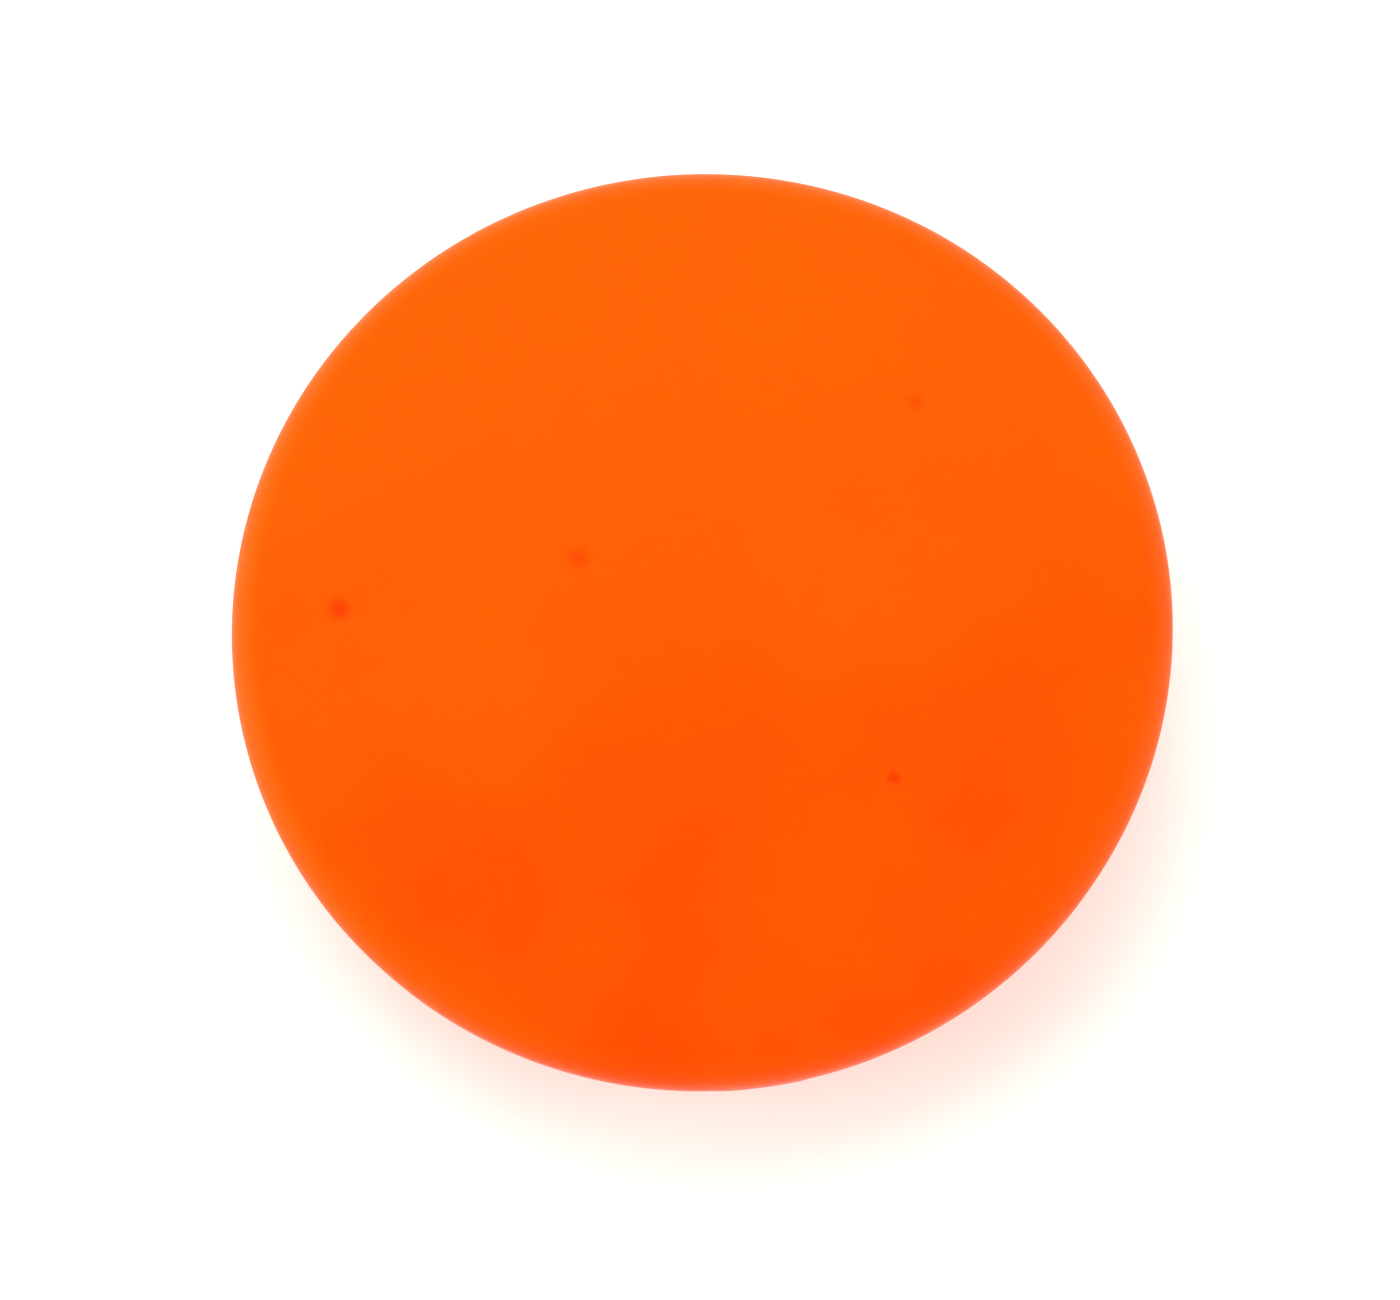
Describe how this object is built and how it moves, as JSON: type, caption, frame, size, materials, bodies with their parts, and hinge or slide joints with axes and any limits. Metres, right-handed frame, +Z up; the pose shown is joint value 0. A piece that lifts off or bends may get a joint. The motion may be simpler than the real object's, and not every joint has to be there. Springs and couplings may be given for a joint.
{
  "type": "road flare",
  "caption": "Round battery-powered road flare with a plain orange cover, side light windows, a sealed side button, a coin-turn battery door, a folding hook and magnets underneath.",
  "frame": {"origin": "middle of the foot ring, on the surface that the flare stands on", "axes": "+Z up through the plain cover face; +Y toward the hook's hinge; the power button is at -Y"},
  "size_m": [0.105, 0.105, 0.033],
  "materials": {
    "orange_cover": "soft gloss, slightly translucent",
    "orange_base": "fine satin texture",
    "clear_lens": "clear polycarbonate, fluted inside",
    "black_rubber": "matte",
    "white_reflector": "satin white",
    "white_board": "white solder mask",
    "led_resin": "clear epoxy",
    "led_white": "white package, yellow phosphor",
    "black_component": "moulded epoxy",
    "black_button": "soft matte",
    "black_plastic": "fine spark texture",
    "cell_wrap": "printed sleeve, no text",
    "nickel_plate": "nickel plating",
    "red_lead": "pvc sleeve",
    "black_lead": "pvc sleeve",
    "screw_steel": "zinc plated",
    "hook_steel": "tumbled stainless steel"
  },
  "bodies": {
    "housing": {"top_cover": "orange_cover", "lens_ring": "clear_lens", "upper_gasket": "black_rubber", "lower_gasket": "black_rubber", "reflector_ring": "white_reflector", "light_pcb": "white_board", "side_leds": "led_resin", "top_leds": "led_white", "controller_chip": "black_component", "board_components": "black_component", "tact_switch": "black_component", "button_guide": "black_plastic", "battery_tray": "black_plastic", "cell_left": "cell_wrap", "cell_middle": "cell_wrap", "cell_right": "cell_wrap", "contact_plates": "nickel_plate", "contact_springs": "nickel_plate", "lead_positive": "red_lead", "lead_negative": "black_lead", "base_shell": "orange_base", "housing_screws": "screw_steel", "tray_screws": "screw_steel", "pcb_screws": "screw_steel", "magnets": "nickel_plate", "foot_ring": "black_rubber", "hook_pin": "hook_steel"},
    "button": {"power_button": "black_button", "button_seal": "black_rubber", "switch_plunger": "white_reflector"},
    "door": {"battery_door": "black_plastic", "door_seal": "black_rubber"},
    "hook": {"hook": "hook_steel"}
  },
  "joints": [
    {"name": "button_press", "type": "slide", "parent": "housing", "child": "button", "axis": [0, 1, 0], "range_m": [0, 0.0006], "stiffness_N_per_m": 2000, "springref_m": -0.0003},
    {"name": "door_turn", "type": "hinge", "parent": "housing", "child": "door", "pos_m": [0, 0, 0.005], "axis": [0, 0, -1], "range_deg": [0, 60]},
    {"name": "hook_fold", "type": "hinge", "parent": "housing", "child": "hook", "pos_m": [0, 0.043, 0.003], "axis": [1, 0, 0], "range_deg": [0, 180]}
  ]
}
